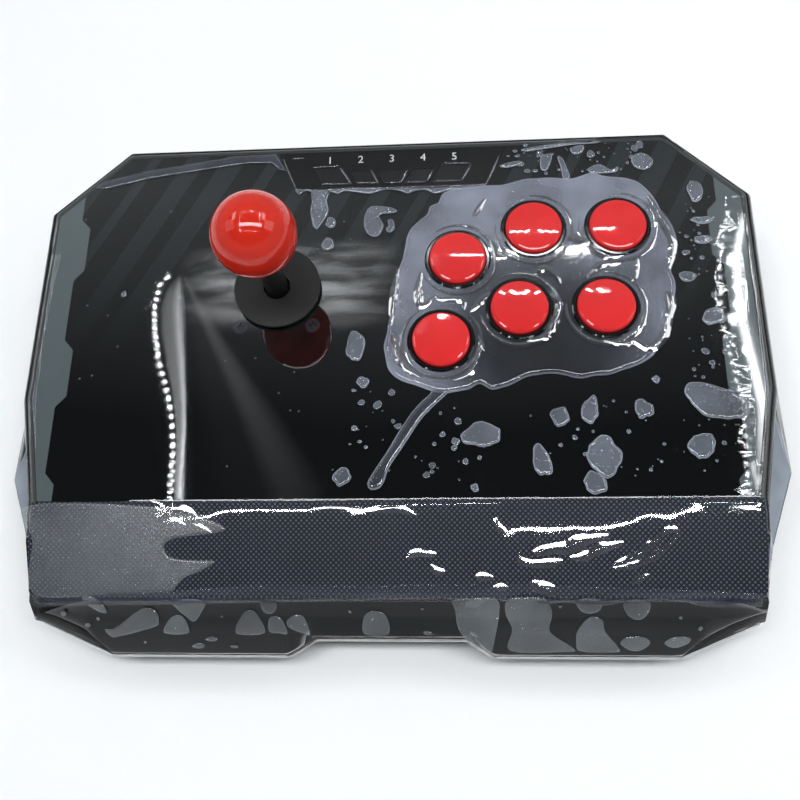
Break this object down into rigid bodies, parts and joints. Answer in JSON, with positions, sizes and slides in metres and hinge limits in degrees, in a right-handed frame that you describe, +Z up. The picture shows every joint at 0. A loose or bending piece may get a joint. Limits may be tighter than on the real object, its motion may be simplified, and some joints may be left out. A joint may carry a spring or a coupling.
{
  "type": "arcade fight stick",
  "caption": "Tabletop arcade controller: wedge-fronted angular case with a ball-top lever, round push buttons, a strip of small keys, a sloping wrist rest and a clear protective film.",
  "frame": {"origin": "middle of the footprint on the surface the feet rest on", "axes": "+X to the player's right, +Y away from the player, +Z up"},
  "size_m": [0.3386, 0.2372, 0.119],
  "materials": {
    "shell_plastic": "fine matte moulded ABS",
    "wrist_rest_rubber": "soft-touch embossed with a diagonal weave of small dots",
    "panel_gloss": "polished polycarbonate over a dark printed sheet",
    "strip_gloss": "piano black",
    "key_plastic": "moulded black ABS",
    "film_clear": "thin clear shrink film, wrinkled and glossy, with trapped air pockets",
    "ball_gloss": "polished red phenolic",
    "plunger_gloss": "polished red polycarbonate",
    "rim_gloss": "polished black polycarbonate",
    "washer_plastic": "grained matte black",
    "lever_plastic": "moulded nylon",
    "white_acetal": "white acetal",
    "shaft_steel": "ground steel",
    "screw_steel": "black-zinc plated steel",
    "switch_plastic": "moulded phenolic switch cases",
    "red_switch": "moulded red switch cases",
    "board_green": "green solder mask on glass laminate",
    "foot_rubber": "moulded rubber"
  },
  "bodies": {
    "case": {"lower_shell": "shell_plastic", "upper_housing": "shell_plastic", "wrist_rest": "wrist_rest_rubber", "face_panel": "panel_gloss", "key_strip": "strip_gloss", "protective_film": "film_clear", "key_board": "board_green", "key_switches": "switch_plastic", "lever_body": "lever_plastic", "lever_board": "board_green", "lever_switches": "red_switch", "restrictor_gate": "white_acetal", "lever_screws": "screw_steel", "button_nuts": "lever_plastic", "button_switches": "switch_plastic", "main_board": "board_green", "board_parts": "switch_plastic", "board_screws": "shaft_steel", "housing_screws": "screw_steel", "rubber_feet": "foot_rubber", "cable_grommet": "foot_rubber", "button_1_housing": "rim_gloss", "button_2_housing": "rim_gloss", "button_3_housing": "rim_gloss", "button_4_housing": "rim_gloss", "button_5_housing": "rim_gloss", "button_6_housing": "rim_gloss"},
    "pivot": {"pivot_ring": "white_acetal"},
    "stick": {"pivot_ball": "white_acetal", "lever_shaft": "shaft_steel", "shaft_sleeve": "lever_plastic", "ball_top": "ball_gloss", "lever_spring": "shaft_steel", "actuator": "white_acetal", "e_ring": "shaft_steel"},
    "washer_slide": {"inner_dust_washer": "washer_plastic"},
    "washer": {"dust_washer": "washer_plastic"},
    "key_1": {"key_1": "key_plastic"},
    "key_2": {"key_2": "key_plastic"},
    "key_3": {"key_3": "key_plastic"},
    "key_4": {"key_4": "key_plastic"},
    "key_5": {"key_5": "key_plastic"},
    "plunger_1": {"button_1_plunger": "plunger_gloss"},
    "plunger_2": {"button_2_plunger": "plunger_gloss"},
    "plunger_3": {"button_3_plunger": "plunger_gloss"},
    "plunger_4": {"button_4_plunger": "plunger_gloss"},
    "plunger_5": {"button_5_plunger": "plunger_gloss"},
    "plunger_6": {"button_6_plunger": "plunger_gloss"}
  },
  "joints": [
    {"name": "stick_fore_aft", "type": "hinge", "parent": "case", "child": "pivot", "pos_m": [-0.0505, 0.0385, 0.038], "axis": [1, 0, 0], "range_deg": [-9, 9], "stiffness_Nm_per_rad": 0.5},
    {"name": "stick_left_right", "type": "hinge", "parent": "pivot", "child": "stick", "pos_m": [-0.0505, 0.0385, 0.038], "axis": [0, 1, 0], "range_deg": [-9, 9], "stiffness_Nm_per_rad": 0.5},
    {"name": "washer_left_right", "type": "slide", "parent": "case", "child": "washer_slide", "axis": [1, 0, 0], "range_m": [-0.0028, 0.0028]},
    {"name": "washer_fore_aft", "type": "slide", "parent": "washer_slide", "child": "washer", "axis": [0, 1, 0], "range_m": [-0.0028, 0.0028]},
    {"name": "button_1_press", "type": "slide", "parent": "case", "child": "plunger_1", "axis": [0, 0, -1], "range_m": [0, 0.003], "stiffness_N_per_m": 150, "springref_m": -0.002},
    {"name": "button_2_press", "type": "slide", "parent": "case", "child": "plunger_2", "axis": [0, 0, -1], "range_m": [0, 0.003], "stiffness_N_per_m": 150, "springref_m": -0.002},
    {"name": "button_3_press", "type": "slide", "parent": "case", "child": "plunger_3", "axis": [0, 0, -1], "range_m": [0, 0.003], "stiffness_N_per_m": 150, "springref_m": -0.002},
    {"name": "button_4_press", "type": "slide", "parent": "case", "child": "plunger_4", "axis": [0, 0, -1], "range_m": [0, 0.003], "stiffness_N_per_m": 150, "springref_m": -0.002},
    {"name": "button_5_press", "type": "slide", "parent": "case", "child": "plunger_5", "axis": [0, 0, -1], "range_m": [0, 0.003], "stiffness_N_per_m": 150, "springref_m": -0.002},
    {"name": "button_6_press", "type": "slide", "parent": "case", "child": "plunger_6", "axis": [0, 0, -1], "range_m": [0, 0.003], "stiffness_N_per_m": 150, "springref_m": -0.002},
    {"name": "key_1_press", "type": "slide", "parent": "case", "child": "key_1", "axis": [0, 0, -1], "range_m": [0, 0.0008], "stiffness_N_per_m": 600, "springref_m": -0.001},
    {"name": "key_2_press", "type": "slide", "parent": "case", "child": "key_2", "axis": [0, 0, -1], "range_m": [0, 0.0008], "stiffness_N_per_m": 600, "springref_m": -0.001},
    {"name": "key_3_press", "type": "slide", "parent": "case", "child": "key_3", "axis": [0, 0, -1], "range_m": [0, 0.0008], "stiffness_N_per_m": 600, "springref_m": -0.001},
    {"name": "key_4_press", "type": "slide", "parent": "case", "child": "key_4", "axis": [0, 0, -1], "range_m": [0, 0.0008], "stiffness_N_per_m": 600, "springref_m": -0.001},
    {"name": "key_5_press", "type": "slide", "parent": "case", "child": "key_5", "axis": [0, 0, -1], "range_m": [0, 0.0008], "stiffness_N_per_m": 600, "springref_m": -0.001}
  ],
  "couplings": [
    {"joint": "washer_left_right", "follows": "stick_left_right", "m_per_rad": 0.0168},
    {"joint": "washer_fore_aft", "follows": "stick_fore_aft", "m_per_rad": -0.0168}
  ]
}
